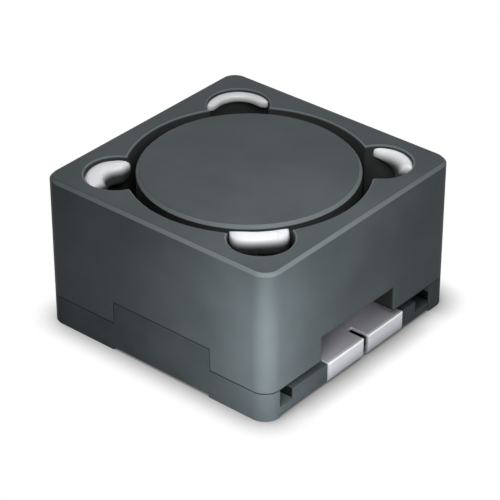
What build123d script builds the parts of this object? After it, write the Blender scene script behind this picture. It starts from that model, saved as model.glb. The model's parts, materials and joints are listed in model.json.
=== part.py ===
from build123d import *
import math
import os

os.makedirs("parts", exist_ok=True)

# Shielded power inductor, in millimetres. The origin is the centre of the footprint, with +Z up.
# The two terminals stand on the +X and -X sides. Every asymmetric feature on one side appears on
# the opposite side turned by half a turn about Z.

# Body
body_side = 12.5
total_height = 7.25
corner_radius = 0.78
top_chamfer = 0.15
seam_height = 1.38

# Shield core
side_wall = 0.93
pocket_wall = 0.85
pocket_radius = 1.4
mouth_chamfer = 0.1
terminal_notch_from = -2.75
terminal_notch_to = 2.3
terminal_notch_height = 2.63
tongue_gap = 0.04

# Base
underside_height = 0.15
foot_width_near = 0.82
foot_width_far = 1.33
foot_inset_near = 3.2
foot_inset_far = 3.85
ledge_height = 1.02
sill_height = 0.5
slot_depth = 0.85
near_slot_width = 0.86
far_slot_width = 1.04
drain_width = 0.1
tongue_from = -2.3
tongue_to = 3.1
tongue_thickness = 0.75
tongue_height = 2.45
pedestal_clearance = 0.35
pedestal_height = 1.5

# Terminals
strip_thickness = 0.15
strip_proud = 0.05
terminal_width = 5.16
terminal_shift = 0.3
plate_length = 3.15
pad_length = 2.1
plate_bend = 0.15
pad_bend = 0.3
finger_slot_width = 0.35
finger_slot_length = 0.95
seat_clearance = 0.02

# Drum core
core_gap = 0.47
drum_post_radius = 2.4
drum_bottom = 1.6
lower_flange = 0.9
upper_flange = 1.05
rim_bevel = 0.15
post_bevel = 0.2

# Winding
wire_diameter = 0.4
turns_per_layer = 9
winding_clearance = 0.05
winding_recess = 0.35
lead_bend = 0.5
lead_gap = 0.32
lead_overhang = 1.5

# Solder mounds
solder_foot_radius = 0.6
solder_top_radius = 0.34
solder_height = 0.42

# Adhesive beads: three lie along the wall of their pocket, from one angle to the other in degrees,
# and the front one is a half-moon against the drum core's rim
bead_drop = 0.14
bead_height = 0.8
bead_bevel = 0.2
back_bead_width = 0.56
back_bead_from = 62
back_bead_to = 215
left_bead_width = 0.95
left_bead_from = 126
left_bead_to = 228
right_bead_width = 0.6
right_bead_from = 28
right_bead_to = 127
front_bead_radius = 1.3
front_bead_reach = 0.74
front_bead_angle = -45.5
front_bead_corner = 0.26

half = body_side / 2
terminal_face = half + strip_proud
plate_top = ledge_height + strip_proud
plate_end = terminal_face - plate_length
pedestal_radius = plate_end - pedestal_clearance
bore_radius = half - side_wall
pocket_offset = half - pocket_wall - pocket_radius
drum_radius = bore_radius - core_gap
winding_radius = drum_radius - winding_recess


def bar(x_from, x_to, y_from, y_to, mode=Mode.ADD):
    """A rectangle given by its edges."""
    with Locations(((x_from + x_to) / 2, (y_from + y_to) / 2)):
        Rectangle(x_to - x_from, y_to - y_from, mode=mode)


def block(x_from, x_to, y_from, y_to, z_from, z_to, mode=Mode.ADD):
    """A straight block on one side, with its copy turned by half a turn about Z."""
    corner = Location(((x_from + x_to) / 2, (y_from + y_to) / 2, z_from))
    with Locations(*[Rotation(0, 0, turn) * corner for turn in (0, 180)]):
        Box(
            x_to - x_from,
            y_to - y_from,
            z_to - z_from,
            align=(Align.CENTER, Align.CENTER, Align.MIN),
            mode=mode,
        )


# Limits of the ledge between the near foot block and the far foot block
near_block = -half + foot_width_near
far_block = half - foot_width_far
terminal_from = terminal_shift - terminal_width / 2
terminal_to = terminal_shift + terminal_width / 2

# Moulded base: slab, corner feet, well, pedestal and the two tongues
with BuildPart() as base:
    with BuildSketch():
        RectangleRounded(body_side, body_side, corner_radius)
    extrude(amount=seam_height)
    # The underside is lower only under the four corner blocks, which are the feet
    block(0, half, near_block, far_block, 0, underside_height, Mode.SUBTRACT)
    block(
        foot_inset_far - half, half - foot_inset_near, -half, -far_block,
        0, underside_height, Mode.SUBTRACT,
    )
    block(0, half, near_block, far_block, ledge_height, seam_height, Mode.SUBTRACT)
    with BuildSketch(Plane.XY.offset(ledge_height)):
        Circle(pedestal_radius)
    extrude(amount=pedestal_height - ledge_height)
    block(tongue_from, tongue_to, -half, -half + tongue_thickness, seam_height, tongue_height)
    # Seat of the terminal's plate, front and pad
    seat_from = terminal_from - seat_clearance
    seat_to = terminal_to + seat_clearance
    seat_depth = strip_thickness - strip_proud
    block(
        plate_end - seat_clearance, half, seat_from, seat_to,
        plate_top - strip_thickness, ledge_height, Mode.SUBTRACT,
    )
    block(half - seat_depth, half, seat_from, seat_to, underside_height, ledge_height, Mode.SUBTRACT)
    # Wire slots at both ends of the ledge, and the narrow drain beside the far foot block
    block(
        half - slot_depth, half, near_block, near_block + near_slot_width,
        sill_height, ledge_height, Mode.SUBTRACT,
    )
    block(
        half - slot_depth, half, far_block - far_slot_width, far_block,
        sill_height, ledge_height, Mode.SUBTRACT,
    )
    block(
        half - slot_depth, half, far_block - drain_width, far_block,
        underside_height, sill_height, Mode.SUBTRACT,
    )
    # Relief behind the terminal's finger slot
    slot_from = terminal_shift - finger_slot_width / 2
    slot_to = terminal_shift + finger_slot_width / 2
    block(
        terminal_face - finger_slot_length, half - seat_depth - strip_thickness, slot_from, slot_to,
        sill_height, plate_top - strip_thickness, Mode.SUBTRACT,
    )
base.part.label = "base"
export_step(base.part, "parts/base.step")

# Ferrite shield: square ring, round bore with four corner pockets, four notches in the lower edge
with BuildPart() as shield_core:
    with BuildSketch(Plane.XY.offset(seam_height)):
        RectangleRounded(body_side, body_side, corner_radius)
        Circle(bore_radius, mode=Mode.SUBTRACT)
        with GridLocations(2 * pocket_offset, 2 * pocket_offset, 2, 2):
            Circle(pocket_radius, mode=Mode.SUBTRACT)
    extrude(amount=total_height - seam_height)
    top_face = shield_core.faces().sort_by(Axis.Z)[-1]
    rim_edges = top_face.outer_wire().edges()
    mouth_edges = top_face.inner_wires()[0].edges()
    chamfer(rim_edges, top_chamfer)
    chamfer(mouth_edges, mouth_chamfer)
    block(
        pocket_offset, half, terminal_notch_from, terminal_notch_to,
        seam_height, terminal_notch_height, Mode.SUBTRACT,
    )
    block(
        tongue_from - tongue_gap, tongue_to + tongue_gap, -half, -pocket_offset,
        seam_height, tongue_height + tongue_gap, Mode.SUBTRACT,
    )
shield_core.part.label = "shield_core"
export_step(shield_core.part, "parts/shield_core.step")

# Ferrite drum core: post between two flanges, with a bevelled top rim
with BuildPart() as drum_core:
    with BuildSketch(Plane.XZ) as drum_section:
        with BuildLine():
            Polyline(
                (0, drum_bottom),
                (drum_radius, drum_bottom),
                (drum_radius, drum_bottom + lower_flange),
                (drum_post_radius, drum_bottom + lower_flange),
                (drum_post_radius, total_height - upper_flange),
                (drum_radius, total_height - upper_flange),
                (drum_radius, total_height),
                (0, total_height),
                close=True,
            )
        make_face()
        rim_corner = drum_section.vertices().group_by(Axis.Y)[-1].sort_by(Axis.X)[-1]
        chamfer(rim_corner, rim_bevel)
        post_corners = drum_section.vertices().group_by(Axis.X)[1]
        chamfer(post_corners, post_bevel)
    revolve(axis=Axis.Z)
drum_core.part.label = "drum_core"
export_step(drum_core.part, "parts/drum_core.step")

# Winding: wire layers on the post, whose outer layer shows each turn as a ridge, and the two leads
window_bottom = drum_bottom + lower_flange + winding_clearance
window_top = total_height - upper_flange - winding_clearance
turn_pitch = (window_top - window_bottom) / turns_per_layer
valley_radius = winding_radius - wire_diameter / 2
bundle_inner = drum_post_radius + post_bevel
lead_height = plate_top + wire_diameter / 2
lead_axis = (drum_radius + lead_gap + wire_diameter / 2) / math.sqrt(2)
lead_end = -lead_overhang

with BuildPart() as winding:
    with BuildSketch(Plane.XZ):
        with BuildLine():
            for turn in range(turns_per_layer):
                low = window_bottom + turn * turn_pitch
                Polyline(
                    (valley_radius, low),
                    (winding_radius, low + turn_pitch / 4),
                    (winding_radius, low + turn_pitch * 3 / 4),
                    (valley_radius, low + turn_pitch),
                )
            Polyline(
                (valley_radius, window_top),
                (bundle_inner, window_top),
                (bundle_inner, window_bottom),
                (valley_radius, window_bottom),
            )
        make_face()
    revolve(axis=Axis.Z)
    start_height = window_bottom + turn_pitch / 2
    inner_start = (valley_radius - wire_diameter) / math.sqrt(2)
    for side in (1, -1):
        with BuildLine() as route:
            FilletPolyline(
                (side * inner_start, -side * inner_start, start_height),
                (side * lead_axis, -side * lead_axis, start_height),
                (side * lead_axis, -side * lead_axis, lead_height),
                (side * lead_axis, side * lead_end, lead_height),
                radius=lead_bend,
            )
        with BuildSketch(Plane(origin=route.line @ 0, z_dir=route.line % 0)):
            Circle(wire_diameter / 2)
        sweep(path=route.line)
winding.part.label = "winding"
export_step(winding.part, "parts/winding.step")

# Clip terminal: strip folded round the ledge, with a finger slot from the plate to the pad
with BuildPart() as start_terminal:
    with BuildSketch(Plane.XZ.offset(-terminal_to)) as strip_section:
        with BuildLine():
            Polyline(
                (plate_end, plate_top),
                (terminal_face, plate_top),
                (terminal_face, 0),
                (terminal_face - pad_length, 0),
                (terminal_face - pad_length, strip_thickness),
                (terminal_face - strip_thickness, strip_thickness),
                (terminal_face - strip_thickness, plate_top - strip_thickness),
                (plate_end, plate_top - strip_thickness),
                close=True,
            )
        make_face()
        outer_corners = strip_section.vertices().group_by(Axis.X)[-1].sort_by(Axis.Y)
        fillet(outer_corners[0], pad_bend)
        fillet(outer_corners[-1], plate_bend)
    extrude(amount=terminal_width)
    with BuildSketch():
        bar(terminal_face - finger_slot_length, terminal_face, slot_from, slot_to)
    extrude(amount=plate_top, mode=Mode.SUBTRACT)
start_terminal.part.label = "start_terminal"
export_step(start_terminal.part, "parts/start_terminal.step")

with BuildPart() as finish_terminal:
    add(start_terminal.part, rotation=(0, 0, 180))
finish_terminal.part.label = "finish_terminal"
export_step(finish_terminal.part, "parts/finish_terminal.step")

# Solder mound over each lead's end
with BuildPart() as start_solder:
    with Locations((lead_axis, lead_end, plate_top)):
        Cone(
            solder_foot_radius,
            solder_top_radius,
            solder_height,
            align=(Align.CENTER, Align.CENTER, Align.MIN),
        )
    add(winding.part, mode=Mode.SUBTRACT)
start_solder.part.label = "start_solder"
export_step(start_solder.part, "parts/start_solder.step")

with BuildPart() as finish_solder:
    add(start_solder.part, rotation=(0, 0, 180))
finish_solder.part.label = "finish_solder"
export_step(finish_solder.part, "parts/finish_solder.step")

# Adhesive disc between the pedestal and the drum core
with BuildPart() as core_bond:
    with BuildSketch(Plane.XY.offset(pedestal_height)):
        Circle(pedestal_radius)
    extrude(amount=drum_bottom - pedestal_height)
core_bond.part.label = "core_bond"
export_step(core_bond.part, "parts/core_bond.step")

# Beads in three corner pockets, each a band with round ends against the pocket's wall
bead_top = total_height - bead_drop
wall_beads = {
    "adhesive_bead_back": (-1, 1, back_bead_width, back_bead_from, back_bead_to),
    "adhesive_bead_left": (-1, -1, left_bead_width, left_bead_from, left_bead_to),
    "adhesive_bead_right": (1, 1, right_bead_width, right_bead_from, right_bead_to),
}
for name, (x_side, y_side, width, angle_from, angle_to) in wall_beads.items():
    with BuildPart() as bead:
        with BuildSketch(Plane.XY.offset(bead_top - bead_height)):
            with Locations((x_side * pocket_offset, y_side * pocket_offset)):
                SlotArc(
                    CenterArc((0, 0), pocket_radius - width / 2, angle_from, angle_to - angle_from),
                    width,
                )
        extrude(amount=bead_height)
        chamfer(bead.faces().sort_by(Axis.Z)[-1].edges(), bead_bevel)
    bead.part.label = name
    export_step(bead.part, f"parts/{name}.step")

# The bead in the front pocket lies against the drum core's rim
front_bead_centre = drum_radius + front_bead_reach - front_bead_radius
with BuildPart() as adhesive_bead_front:
    with BuildSketch(Plane.XY.offset(bead_top - bead_height)) as front_outline:
        with Locations(Rotation(0, 0, front_bead_angle) * Location((front_bead_centre, 0))):
            Circle(front_bead_radius)
        Circle(drum_radius, mode=Mode.SUBTRACT)
        fillet(front_outline.vertices(), front_bead_corner)
    extrude(amount=bead_height)
    chamfer(adhesive_bead_front.faces().sort_by(Axis.Z)[-1].edges(), bead_bevel)
adhesive_bead_front.part.label = "adhesive_bead_front"
export_step(adhesive_bead_front.part, "parts/adhesive_bead_front.step")
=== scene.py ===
import json
import math

import bmesh
import bpy
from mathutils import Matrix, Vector, noise


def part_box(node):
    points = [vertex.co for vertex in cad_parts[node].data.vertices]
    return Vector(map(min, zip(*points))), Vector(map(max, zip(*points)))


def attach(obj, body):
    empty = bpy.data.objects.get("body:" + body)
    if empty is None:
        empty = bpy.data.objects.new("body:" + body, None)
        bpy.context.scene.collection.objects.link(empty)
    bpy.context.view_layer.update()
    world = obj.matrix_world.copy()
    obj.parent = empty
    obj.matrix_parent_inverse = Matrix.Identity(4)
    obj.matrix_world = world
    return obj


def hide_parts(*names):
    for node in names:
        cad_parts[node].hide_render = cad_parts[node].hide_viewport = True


# Looks of a shielded surface-mount power inductor, in metres, +Z up. The camera looks at the corner
# between the +X side, where a terminal shows, and the -Y side.

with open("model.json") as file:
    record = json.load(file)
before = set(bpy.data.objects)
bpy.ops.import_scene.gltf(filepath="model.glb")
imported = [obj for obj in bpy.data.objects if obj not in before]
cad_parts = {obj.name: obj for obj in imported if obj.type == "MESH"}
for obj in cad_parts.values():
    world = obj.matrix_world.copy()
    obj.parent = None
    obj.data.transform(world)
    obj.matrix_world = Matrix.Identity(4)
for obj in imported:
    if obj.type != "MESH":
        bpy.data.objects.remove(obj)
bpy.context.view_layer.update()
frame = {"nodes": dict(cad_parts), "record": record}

MM = 0.001

# Camera: place, aim and focal length, as fitted to the photograph
camera_target = Vector((0, 0, 3.5)) * MM
camera_azimuth = 40.164
camera_elevation = 32.078
camera_distance = 100.408 * MM
aim_azimuth = 40.139
aim_elevation = 32.301
focal_pixels = 2302.665
picture_pixels = 500
sensor_width = 36.0
clip_factor = 50


def direction(azimuth, elevation):
    """The unit vector that points from the object to a viewer at that azimuth and elevation."""
    a, e = math.radians(azimuth), math.radians(elevation)
    return Vector((math.sin(a) * math.cos(e), -math.cos(a) * math.cos(e), math.sin(e)))


def make_camera():
    data = bpy.data.cameras.new("camera")
    data.sensor_width = sensor_width
    data.lens = focal_pixels / picture_pixels * sensor_width
    data.clip_start = camera_distance / clip_factor
    data.clip_end = camera_distance * clip_factor
    camera = bpy.data.objects.new("camera", data)
    bpy.context.scene.collection.objects.link(camera)
    camera.location = camera_target + direction(camera_azimuth, camera_elevation) * camera_distance
    camera.rotation_mode = "QUATERNION"
    camera.rotation_quaternion = (-direction(aim_azimuth, aim_elevation)).to_track_quat("-Z", "Y")
    bpy.context.scene.camera = camera


make_camera()


# Sizes from the frame
shield_low, shield_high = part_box("shield_core")
body_half = shield_high.x
body_top = shield_high.z
body_low = shield_low.z
plate_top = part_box("start_solder")[0].z
terminal_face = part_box("start_terminal")[1].x
drum_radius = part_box("drum_core")[1].x
bead_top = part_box("adhesive_bead_back")[1].z

# Places of openings in those pieces: heights, and how far from the middle of a side they stay
notch_top = 2.7 * MM
notch_limit = 3.2 * MM
sill_top = 0.5 * MM
ledge_top = 1.02 * MM
slot_limit = 5.46 * MM

# Sizes of the painted light and shade: depths below the top where the painted bevel highlight and the
# painted shade of the bore and the beads begin and end, the height of the painted dark seam shade on the
# shield's lower edge, the radius that edges look rounded by, and how soft the passage between two tones
# is
highlight_top_depth = 0.005 * MM
mouth_depth = 0.065 * MM
bevel_depth = 0.14 * MM
bead_pale_depth = 0.24 * MM
bead_dark_depth = 0.68 * MM
seam_shade_height = 0.04 * MM
edge_radius = 0.035 * MM
passage = 0.02 * MM


# Materials
def new_material(name):
    """A node material with a Principled shader; returns the material, its nodes, links and shader."""
    material = bpy.data.materials.new(name)
    material.use_nodes = True
    nodes = material.node_tree.nodes
    return material, nodes, material.node_tree.links, nodes["Principled BSDF"]


def noise_texture(nodes, links, scale, detail=3.0, roughness=0.5):
    """Noise over the object's own coordinates, with a scale in features per millimetre."""
    place = nodes.new("ShaderNodeTexCoord")
    texture = nodes.new("ShaderNodeTexNoise")
    texture.inputs["Scale"].default_value = scale / MM
    texture.inputs["Detail"].default_value = detail
    texture.inputs["Roughness"].default_value = roughness
    links.new(place.outputs["Object"], texture.inputs["Vector"])
    return texture


def colour_ramp(nodes, links, source, stops):
    """Maps a value to a colour; stops are (position, (r, g, b))."""
    ramp = nodes.new("ShaderNodeValToRGB")
    while len(ramp.color_ramp.elements) < len(stops):
        ramp.color_ramp.elements.new(0.5)
    for element, (position, colour) in zip(ramp.color_ramp.elements, stops):
        element.position = position
        element.color = (*colour, 1.0)
    links.new(source, ramp.inputs["Fac"])
    return ramp


def cloudy_tone(nodes, links, texture, dark, light):
    """A colour that wanders between two with a texture."""
    return colour_ramp(nodes, links, texture.outputs["Fac"], [(0.3, dark), (0.7, light)]).outputs["Color"]


def mix_colours(nodes, links, blend_type, first, second):
    """Two colours added, multiplied or the like, in full."""
    mix = nodes.new("ShaderNodeMix")
    mix.data_type = "RGBA"
    mix.blend_type = blend_type
    mix.inputs["Factor"].default_value = 1.0
    links.new(first, mix.inputs[6])
    links.new(second, mix.inputs[7])
    return mix.outputs[2]


def value_map(nodes, links, source, low, high):
    """Maps a value from 0..1 to low..high."""
    node = nodes.new("ShaderNodeMapRange")
    node.inputs["To Min"].default_value = low
    node.inputs["To Max"].default_value = high
    links.new(source, node.inputs["Value"])
    return node


def vary_roughness(nodes, links, shader, texture, low, high):
    """Roughness that follows a texture between two values."""
    rough = value_map(nodes, links, texture.outputs["Fac"], low, high)
    links.new(rough.outputs["Result"], shader.inputs["Roughness"])


def add_bump(nodes, links, shader, height, strength, distance, rounding=0.0):
    """Surface grain, over edges that look rounded where a radius is given."""
    bump = nodes.new("ShaderNodeBump")
    bump.inputs["Strength"].default_value = strength
    bump.inputs["Distance"].default_value = distance
    links.new(height, bump.inputs["Height"])
    if rounding:
        edge = nodes.new("ShaderNodeBevel")
        edge.samples = 6
        edge.inputs["Radius"].default_value = rounding
        links.new(edge.outputs["Normal"], bump.inputs["Normal"])
    links.new(bump.outputs["Normal"], shader.inputs["Normal"])


def arithmetic(nodes, links, operation, first, second=None):
    """One Math node; each operand is an output socket or a number."""
    node = nodes.new("ShaderNodeMath")
    node.operation = operation
    for slot, operand in enumerate((first, second)):
        if isinstance(operand, (int, float)):
            node.inputs[slot].default_value = operand
        elif operand is not None:
            links.new(operand, node.inputs[slot])
    return node.outputs[0]


def smooth_step(nodes, links, source, low, high):
    """0 where the source is at low, 1 where it is at high, with a soft passage."""
    node = nodes.new("ShaderNodeMapRange")
    node.interpolation_type = "SMOOTHSTEP"
    node.inputs["From Min"].default_value = low
    node.inputs["From Max"].default_value = high
    links.new(source, node.inputs["Value"])
    return node.outputs["Result"]


def object_place(nodes, links):
    """Sockets that say where a point lies on the object: its x, y and z, how far it is from the
    middle planes (across and along), and the larger of these two (reach)."""
    place = nodes.new("ShaderNodeTexCoord")
    axes = nodes.new("ShaderNodeSeparateXYZ")
    links.new(place.outputs["Object"], axes.inputs[0])
    x, y, z = axes.outputs["X"], axes.outputs["Y"], axes.outputs["Z"]
    across = arithmetic(nodes, links, "ABSOLUTE", x)
    along = arithmetic(nodes, links, "ABSOLUTE", y)
    reach = arithmetic(nodes, links, "MAXIMUM", across, along)
    return {"x": x, "y": y, "z": z, "across": across, "along": along, "reach": reach}


def both(nodes, links, first, second):
    """1 only where both masks are 1."""
    return arithmetic(nodes, links, "MULTIPLY", first, second)


def inside_mask(nodes, links, place, shallow, deep):
    """0 up to the shallow depth inside the body's side faces, and 1 from the deep one inwards."""
    return smooth_step(nodes, links, place["reach"], body_half - shallow, body_half - deep)


def bore_shade_mask(nodes, links):
    """1 inside the bore and pockets below their narrow pale mouth, where painted shade darkens them."""
    place = object_place(nodes, links)
    inward = inside_mask(nodes, links, place, shallow=0.2 * MM, deep=0.35 * MM)
    mouth_low = body_top - mouth_depth
    downward = smooth_step(nodes, links, place["z"], mouth_low, mouth_low - passage)
    return both(nodes, links, inward, downward)


def recess_mask(nodes, links, low, high, shallow, deep, limit):
    """1 in the openings of the side faces between two heights, from a small depth inwards. The
    openings stay within the limit on both sides of the middle, which leaves the corners out."""
    place = object_place(nodes, links)
    nearer = arithmetic(nodes, links, "MINIMUM", place["across"], place["along"])
    middle = smooth_step(nodes, links, nearer, limit, limit - 1.5 * passage)
    inward = both(nodes, links, middle, inside_mask(nodes, links, place, shallow, deep))
    above = smooth_step(nodes, links, place["z"], low, low + passage)
    below = smooth_step(nodes, links, place["z"], high, high - passage)
    return both(nodes, links, inward, both(nodes, links, above, below))


def edge_highlight_mask(nodes, links):
    """1 on the bevels just below the top, where a painted highlight lightens them. It reaches less
    deep at the mouths of the bore and pockets than on the outer edges and the drum's rim."""
    place = object_place(nodes, links)
    squares = [both(nodes, links, place[axis], place[axis]) for axis in "xy"]
    radius = arithmetic(nodes, links, "SQRT", arithmetic(nodes, links, "ADD", *squares))
    mouth = both(
        nodes, links,
        smooth_step(nodes, links, radius, drum_radius + 0.1 * MM, drum_radius + 0.2 * MM),
        inside_mask(nodes, links, place, shallow=0.5 * MM, deep=0.6 * MM),
    )
    mouth_low = body_top - mouth_depth
    bevel_low = body_top - bevel_depth
    below = smooth_step(nodes, links, place["z"], body_top - highlight_top_depth, body_top - passage)
    wide = smooth_step(nodes, links, place["z"], bevel_low - passage, bevel_low)
    narrow = smooth_step(nodes, links, place["z"], mouth_low - passage, mouth_low)
    above = nodes.new("ShaderNodeMix")
    links.new(mouth, above.inputs[0])
    links.new(wide, above.inputs[2])
    links.new(narrow, above.inputs[3])
    return both(nodes, links, below, above.outputs[0])


def tint(nodes, links, colour, mask, other):
    """Blends a colour towards another one where the mask is 1."""
    blend = nodes.new("ShaderNodeMix")
    blend.data_type = "RGBA"
    links.new(mask, blend.inputs[0])
    links.new(colour, blend.inputs[6])
    blend.inputs[7].default_value = (*other, 1.0)
    return blend.outputs[2]


def srgb(red, green, blue):
    """Linear colour from 8-bit display values."""
    return tuple(((v / 255 + 0.055) / 1.055) ** 2.4 for v in (red, green, blue))


def make_ferrite(name, dark, light, specks):
    """Sintered ferrite: matt dark grey with fine grain, cloudy tone and tiny pale specks. Painted
    shade darkens it in the bore, in the notches and along the seam, and a painted highlight
    lightens the bevels."""
    material, nodes, links, shader = new_material(name)
    clouds = noise_texture(nodes, links, 0.35, detail=4.0)
    tone = cloudy_tone(nodes, links, clouds, dark, light)
    grain = noise_texture(nodes, links, 12.0, detail=5.0, roughness=0.7)
    speck = colour_ramp(nodes, links, grain.outputs["Fac"], [(0.68, (0, 0, 0)), (0.8, specks)])
    colour = mix_colours(nodes, links, "ADD", tone, speck.outputs["Color"])
    # Painted shade inside the bore and pockets
    colour = tint(nodes, links, colour, bore_shade_mask(nodes, links), painted_pocket_shade)
    # Painted shade inside the terminal notches of the shield
    notches = recess_mask(
        nodes, links, low=body_low - 0.1 * MM, high=notch_top,
        shallow=0.02 * MM, deep=0.16 * MM, limit=notch_limit,
    )
    colour = tint(nodes, links, colour, notches, painted_notch_shade)
    # Painted shade: a dark line along the shield's lower edge, where it meets the base
    seam_shade_top = body_low + seam_shade_height
    seam = smooth_step(nodes, links, object_place(nodes, links)["z"], seam_shade_top + 0.75 * passage, seam_shade_top)
    colour = tint(nodes, links, colour, seam, painted_crevice_shade)
    # Painted highlight on the bevels just below the top
    colour = tint(nodes, links, colour, edge_highlight_mask(nodes, links), painted_edge_highlight)
    links.new(colour, shader.inputs["Base Color"])
    vary_roughness(nodes, links, shader, grain, 0.42, 0.58)
    shader.inputs["Specular IOR Level"].default_value = 0.05
    add_bump(nodes, links, shader, grain.outputs["Fac"], 0.25, 0.01 * MM, edge_radius)
    return material


def make_plastic(name, dark, light):
    """Moulded black plastic with a faint spark-eroded grain, and painted shade inside the wire slots."""
    material, nodes, links, shader = new_material(name)
    tone = cloudy_tone(nodes, links, noise_texture(nodes, links, 0.5), dark, light)
    # Painted shade inside the wire slots
    slots = recess_mask(
        nodes, links, low=sill_top, high=ledge_top - passage / 2,
        shallow=0.03 * MM, deep=0.1 * MM, limit=slot_limit,
    )
    colour = tint(nodes, links, tone, slots, painted_crevice_shade)
    links.new(colour, shader.inputs["Base Color"])
    grain = noise_texture(nodes, links, 18.0, detail=4.0)
    vary_roughness(nodes, links, shader, grain, 0.4, 0.56)
    shader.inputs["Specular IOR Level"].default_value = 0.02
    add_bump(nodes, links, shader, grain.outputs["Fac"], 0.2, 0.008 * MM, edge_radius)
    return material


def make_tinned(name):
    """Satin tin plate with faint rolling marks, a painted highlight on the bend, painted shade that
    darkens it towards the board and painted light that lifts the plate under the notch.
    """
    material, nodes, links, shader = new_material(name)
    shader.inputs["Metallic"].default_value = 0.55
    coordinates = nodes.new("ShaderNodeTexCoord")
    stretch = nodes.new("ShaderNodeMapping")
    stretch.inputs["Scale"].default_value = (1.0, 6.0, 1.0)
    links.new(coordinates.outputs["Object"], stretch.inputs["Vector"])
    streaks = nodes.new("ShaderNodeTexNoise")
    streaks.inputs["Scale"].default_value = 0.5 / MM
    streaks.inputs["Detail"].default_value = 3.0
    links.new(stretch.outputs["Vector"], streaks.inputs["Vector"])
    place = object_place(nodes, links)
    # Painted shade: the tin darkens from the plate's top down towards the board
    fall = smooth_step(nodes, links, place["z"], 0.0, plate_top - 0.2 * MM)
    tone = colour_ramp(nodes, links, fall, [(0.0, tin_shaded_foot), (1.0, tin_lit_top)])
    marks = cloudy_tone(nodes, links, streaks, rolling_dark, rolling_light)
    worn = mix_colours(nodes, links, "MULTIPLY", tone.outputs["Color"], marks)
    # Painted light: the plate under the shield's notch is lifted to a paler tone
    flat = smooth_step(nodes, links, place["reach"], terminal_face - 0.16 * MM, terminal_face - 0.22 * MM)
    colour = tint(nodes, links, worn, flat, tin_plate_painted_light)
    # Painted highlight along the outer bend
    bend = both(
        nodes, links,
        smooth_step(nodes, links, place["z"], plate_top - 0.15 * MM, plate_top - 0.08 * MM),
        smooth_step(nodes, links, place["reach"], terminal_face - 0.17 * MM, terminal_face - 0.1 * MM),
    )
    colour = tint(nodes, links, colour, bend, painted_bend_highlight)
    links.new(colour, shader.inputs["Base Color"])
    vary_roughness(nodes, links, shader, streaks, 0.3, 0.38)
    add_bump(nodes, links, shader, streaks.outputs["Fac"], 0.05, 0.004 * MM, edge_radius)
    return material


def make_adhesive(name, dark, light):
    """Cured white adhesive: glossy and softly uneven, with painted shade that darkens it deep in its
    pocket.
    """
    material, nodes, links, shader = new_material(name)
    clouds = noise_texture(nodes, links, 1.2)
    tone = cloudy_tone(nodes, links, clouds, dark, light)
    height = object_place(nodes, links)["z"]
    # Painted shade: the bead darkens below its top, deeper in the pocket
    sunk = smooth_step(nodes, links, height, body_top - bead_pale_depth, body_top - bead_dark_depth)
    colour = tint(nodes, links, tone, sunk, painted_pocket_shade)
    links.new(colour, shader.inputs["Base Color"])
    vary_roughness(nodes, links, shader, clouds, 0.22, 0.36)
    add_bump(nodes, links, shader, clouds.outputs["Fac"], 0.15, 0.03 * MM)
    return material


def make_copper(name):
    """Enamelled copper wire."""
    material, nodes, links, shader = new_material(name)
    shader.inputs["Metallic"].default_value = 1.0
    clouds = noise_texture(nodes, links, 1.5)
    links.new(cloudy_tone(nodes, links, clouds, copper_dark, copper_light), shader.inputs["Base Color"])
    vary_roughness(nodes, links, shader, clouds, 0.22, 0.34)
    shader.inputs["Coat Weight"].default_value = 0.6
    shader.inputs["Coat Roughness"].default_value = 0.15
    return material


# Colours: linear values, or srgb() of display values
# Painted shade: the dark tone of the bore, the pockets and the beads' sunk sides
painted_pocket_shade = (0.046, 0.051, 0.049)
# Painted shade of the notches
painted_notch_shade = (0.018, 0.02, 0.019)
# Painted shade of the seam and the wire slots
painted_crevice_shade = (0.006, 0.007, 0.007)
# Painted highlight of the bevels
painted_edge_highlight = srgb(112, 120, 122)
speck_colour = (0.03, 0.03, 0.03)
rolling_dark = (0.94, 0.94, 0.94)
rolling_light = (1.0, 1.0, 1.0)
# Painted shade of the terminal's front, from its foot up to its top
tin_shaded_foot = (0.44, 0.45, 0.5)
tin_lit_top = (0.7, 0.72, 0.76)
# Painted light of the plate under the notch
tin_plate_painted_light = (0.78, 0.78, 0.84)
# Painted highlight of the bend
painted_bend_highlight = (0.97, 0.98, 1.0)
copper_dark = (0.3, 0.1, 0.04)
copper_light = (0.4, 0.15, 0.06)

# The front bead hangs on the drum's rim in the strongest light, so its adhesive is painted a little
# greyer: painted shade that tones that light down
materials = {
    "ferrite": make_ferrite("ferrite", srgb(69, 76, 78), srgb(79, 86, 89), speck_colour),
    "base_plastic": make_plastic("base_plastic", srgb(64, 71, 73), srgb(74, 81, 84)),
    "tinned_strip": make_tinned("tinned_strip"),
    "enamelled_copper": make_copper("enamelled_copper"),
    "solder": make_tinned("solder"),
    "bond_adhesive": make_plastic("bond_adhesive", srgb(60, 60, 60), srgb(70, 70, 70)),
    "bead_adhesive": make_adhesive("bead_adhesive", (0.89, 0.91, 0.93), (0.93, 0.94, 0.95)),
    "rim_adhesive": make_adhesive("rim_adhesive", (0.78, 0.8, 0.83), (0.83, 0.84, 0.86)),
}

for subpart in frame["record"]["subparts"]:
    node = frame["nodes"][subpart["node"]]
    node.data.materials.clear()
    node.data.materials.append(materials[subpart["material_slot"]])


# Adhesive beads: soft bands that cling to a round wall
bead_rings = 56
bead_ring_points = 40
squareness = 0.62
end_droop = 0.18
end_thinning = 0.4
waviness = 0.018 * MM
wave_scale = 1.6 / MM


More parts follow.
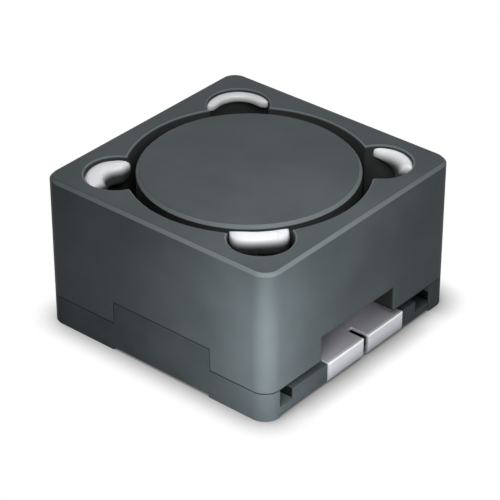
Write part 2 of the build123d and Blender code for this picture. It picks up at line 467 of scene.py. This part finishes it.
def bead_ring(t, spot, shape):
    """Points round the bead's section at t, which runs from -1 at one end to 1 at the other."""
    fullness = (1 - abs(t) ** spot["bluntness"]) ** 0.5
    width = shape["width"] * fullness * (1 + shape["lean"] * t)
    depth = shape["depth"]
    top = bead_top - shape["sink"] * max(t, 0) ** 2 - depth * end_droop * (1 - fullness)
    half_depth = depth / 2 * (1 - end_thinning * (1 - fullness)) * (1 + shape["taper"] * t)
    ring = []
    for j in range(bead_ring_points):
        turn = 2 * math.pi * j / bead_ring_points
        side = math.copysign(abs(math.cos(turn)) ** squareness, math.cos(turn))
        rise = math.copysign(abs(math.sin(turn)) ** squareness, math.sin(turn))
        inset = (1 - side) / 2
        turned = shape["skew"] * inset * max(-t, 0) ** 3
        angle = math.radians(spot["middle"] + spot["half_span"] * t - turned)
        reach = width * inset * (1 + shape["flare"] * (1 - rise) / 2)
        radius = spot["wall"] + spot["grows"] * reach
        height = top - half_depth + rise * half_depth - shape["sag"] * inset**2
        point = spot["centre"] + Vector((radius * math.cos(angle), radius * math.sin(angle), height))
        point.z += noise.noise(point * wave_scale) * waviness
        ring.append(point)
    return ring


def make_bead(name, node, spot, shape, adhesive="bead_adhesive"):
    """One bead. spot says where: centre and radius of the wall, whether it grows inwards (-1) or
    outwards (1), its middle and half span in degrees, and how blunt its ends are. shape comes from
    bead_shape."""
    builder = bmesh.new()
    rings = []
    for i in range(1, bead_rings):
        t = -math.cos(math.pi * i / bead_rings)
        rings.append([builder.verts.new(point) for point in bead_ring(t, spot, shape)])
    for near, far in zip(rings, rings[1:]):
        for j in range(bead_ring_points):
            k = (j + 1) % bead_ring_points
            builder.faces.new((near[j], near[k], far[k], far[j]))
    for ring in (rings[0], rings[-1]):
        tip = builder.verts.new(sum((v.co for v in ring), Vector()) / bead_ring_points)
        for j in range(bead_ring_points):
            builder.faces.new((ring[j], ring[(j + 1) % bead_ring_points], tip))
    bmesh.ops.recalc_face_normals(builder, faces=builder.faces)
    mesh = bpy.data.meshes.new(name)
    builder.to_mesh(mesh)
    builder.free()
    mesh.polygons.foreach_set("use_smooth", [True] * len(mesh.polygons))
    mesh.materials.append(materials[adhesive])
    bead = bpy.data.objects.new(name, mesh)
    bpy.context.scene.collection.objects.link(bead)
    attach(bead, "root")
    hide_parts(node)


pocket_radius = 1.4 * MM
pocket_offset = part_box("adhesive_bead_back")[1].y - pocket_radius
mouth_flare = 0.04 * MM
mouth_radius = pocket_radius + mouth_flare


def pocket_spot(x_side, y_side, angle_from, angle_to, bluntness):
    """A place on the wall of the pocket in that corner, between two angles about its centre. A high
    bluntness keeps the bead full up to its ends."""
    return {
        "centre": Vector((x_side * pocket_offset, y_side * pocket_offset, 0)),
        "wall": mouth_radius,
        "grows": -1,
        "middle": (angle_from + angle_to) / 2,
        "half_span": (angle_to - angle_from) / 2,
        "bluntness": bluntness,
    }


def bead_shape(width, depth, lean=0.0, taper=0.0, sink=0.0, flare=0.0, sag=0.0, skew=0.0):
    """width, depth, sink and sag in millimetres. Negative lean and taper make the end at -1 wider
    and deeper, sink lowers the end at 1, flare widens the foot, sag rounds the free edge down, and
    skew turns that edge further round at the end at -1, by an angle in degrees."""
    return {
        "width": width * MM, "depth": depth * MM, "lean": lean, "taper": taper,
        "sink": sink * MM, "flare": flare, "sag": sag * MM, "skew": skew,
    }


rim_spot = {
    "centre": Vector((0, 0, 0)), "wall": drum_radius, "grows": 1,
    "middle": -45, "half_span": 14.5, "bluntness": 6.0,
}
make_bead(
    "bead_back", "adhesive_bead_back",
    pocket_spot(-1, 1, angle_from=60, angle_to=216, bluntness=9.0),
    bead_shape(width=0.42, depth=0.36, sag=0.05),
)
make_bead(
    "bead_left", "adhesive_bead_left",
    pocket_spot(-1, -1, angle_from=115, angle_to=254, bluntness=12.0),
    bead_shape(width=0.76, depth=0.84, lean=0.22, sink=0.16, flare=0.3, sag=0.12, skew=8.0),
)
make_bead(
    "bead_right", "adhesive_bead_right",
    pocket_spot(1, 1, angle_from=30, angle_to=140, bluntness=8.0),
    bead_shape(width=0.35, depth=0.62, lean=-0.6, taper=-0.5, flare=0.9, sag=0.12),
)
make_bead(
    "bead_front", "adhesive_bead_front", rim_spot,
    bead_shape(width=0.76, depth=0.84, sag=0.1), adhesive="rim_adhesive",
)


# Surroundings: a pale floor that the camera sees as white, apart from the object's shadow
floor_half = 400 * MM
floor_dark = (0.8, 0.8, 0.8)
floor_light = (0.82, 0.82, 0.82)
shadow_reach = 1.25 * MM
shadow_strength = 1.4
shadow_lean = (-0.12, -0.12, 0.985)
world_light = 0.05


def seen_directly(nodes, links):
    """1 for camera, glossy and transmission rays, and 0 for the rest."""
    path = nodes.new("ShaderNodeLightPath")
    camera, glossy = path.outputs["Is Camera Ray"], path.outputs["Is Glossy Ray"]
    either = arithmetic(nodes, links, "MAXIMUM", camera, glossy)
    return arithmetic(nodes, links, "MAXIMUM", either, path.outputs["Is Transmission Ray"])


def make_floor():
    """The floor. Seen directly it glows white, less so where the object closes off the sky."""
    mesh = bpy.data.meshes.new("floor")
    signs = [(-1, -1), (1, -1), (1, 1), (-1, 1)]
    corners = [(x * floor_half, y * floor_half, 0) for x, y in signs]
    mesh.from_pydata(corners, [], [(0, 1, 2, 3)])
    floor = bpy.data.objects.new("floor", mesh)
    bpy.context.scene.collection.objects.link(floor)
    material, nodes, links, shader = new_material("floor")
    tone = cloudy_tone(nodes, links, noise_texture(nodes, links, 0.05), floor_dark, floor_light)
    links.new(tone, shader.inputs["Base Color"])
    shader.inputs["Roughness"].default_value = 0.9
    shader.inputs["Specular IOR Level"].default_value = 0.0
    contact = nodes.new("ShaderNodeAmbientOcclusion")
    contact.samples = 12
    contact.inputs["Distance"].default_value = shadow_reach
    lean = nodes.new("ShaderNodeCombineXYZ")
    for axis, part in zip("XYZ", shadow_lean):
        lean.inputs[axis].default_value = part
    links.new(lean.outputs[0], contact.inputs["Normal"])
    white = nodes.new("ShaderNodeEmission")
    light = arithmetic(nodes, links, "POWER", contact.outputs["AO"], shadow_strength)
    links.new(light, white.inputs["Strength"])
    seen = nodes.new("ShaderNodeMixShader")
    links.new(seen_directly(nodes, links), seen.inputs[0])
    links.new(shader.outputs[0], seen.inputs[1])
    links.new(white.outputs[0], seen.inputs[2])
    links.new(seen.outputs[0], nodes["Material Output"].inputs["Surface"])
    mesh.materials.append(material)


make_floor()


def make_world(strength):
    """A white world that lights the object faintly and is seen at full white."""
    world = bpy.data.worlds.new("studio")
    bpy.context.scene.world = world
    world.use_nodes = True
    nodes, links = world.node_tree.nodes, world.node_tree.links
    background = nodes["Background"]
    background.inputs["Color"].default_value = (1, 1, 1, 1)
    level = value_map(nodes, links, seen_directly(nodes, links), strength, 1.0)
    links.new(level.outputs["Result"], background.inputs["Strength"])


make_world(world_light)


def add_softbox(name, azimuth, elevation, distance, width, power):
    """A square soft light that faces the object: angles in degrees, sizes in metres, power in watts."""
    data = bpy.data.lights.new(name, "AREA")
    data.size = width
    data.energy = power
    lamp = bpy.data.objects.new(name, data)
    lamp.visible_camera = False
    bpy.context.scene.collection.objects.link(lamp)
    lamp.location = camera_target + direction(azimuth, elevation) * distance
    lamp.rotation_mode = "QUATERNION"
    lamp.rotation_quaternion = (-direction(azimuth, elevation)).to_track_quat("-Z", "Y")


add_softbox("corner_key", azimuth=45, elevation=2, distance=0.0135, width=0.004, power=0.00088)
add_softbox("high_key", azimuth=45, elevation=60, distance=0.02, width=0.01, power=0.00178)
add_softbox("side", azimuth=75, elevation=45, distance=0.022, width=0.008, power=0.00082)
add_softbox("low_front", azimuth=22, elevation=6, distance=0.018, width=0.006, power=0.0003)
add_softbox("low_side", azimuth=75, elevation=12, distance=0.025, width=0.01, power=0.0007)
add_softbox("overhead", azimuth=225, elevation=75, distance=0.02, width=0.01, power=0.0005)
add_softbox("back", azimuth=225, elevation=4, distance=0.07, width=0.05, power=0.018)

bpy.context.scene.view_settings.view_transform = "Standard"
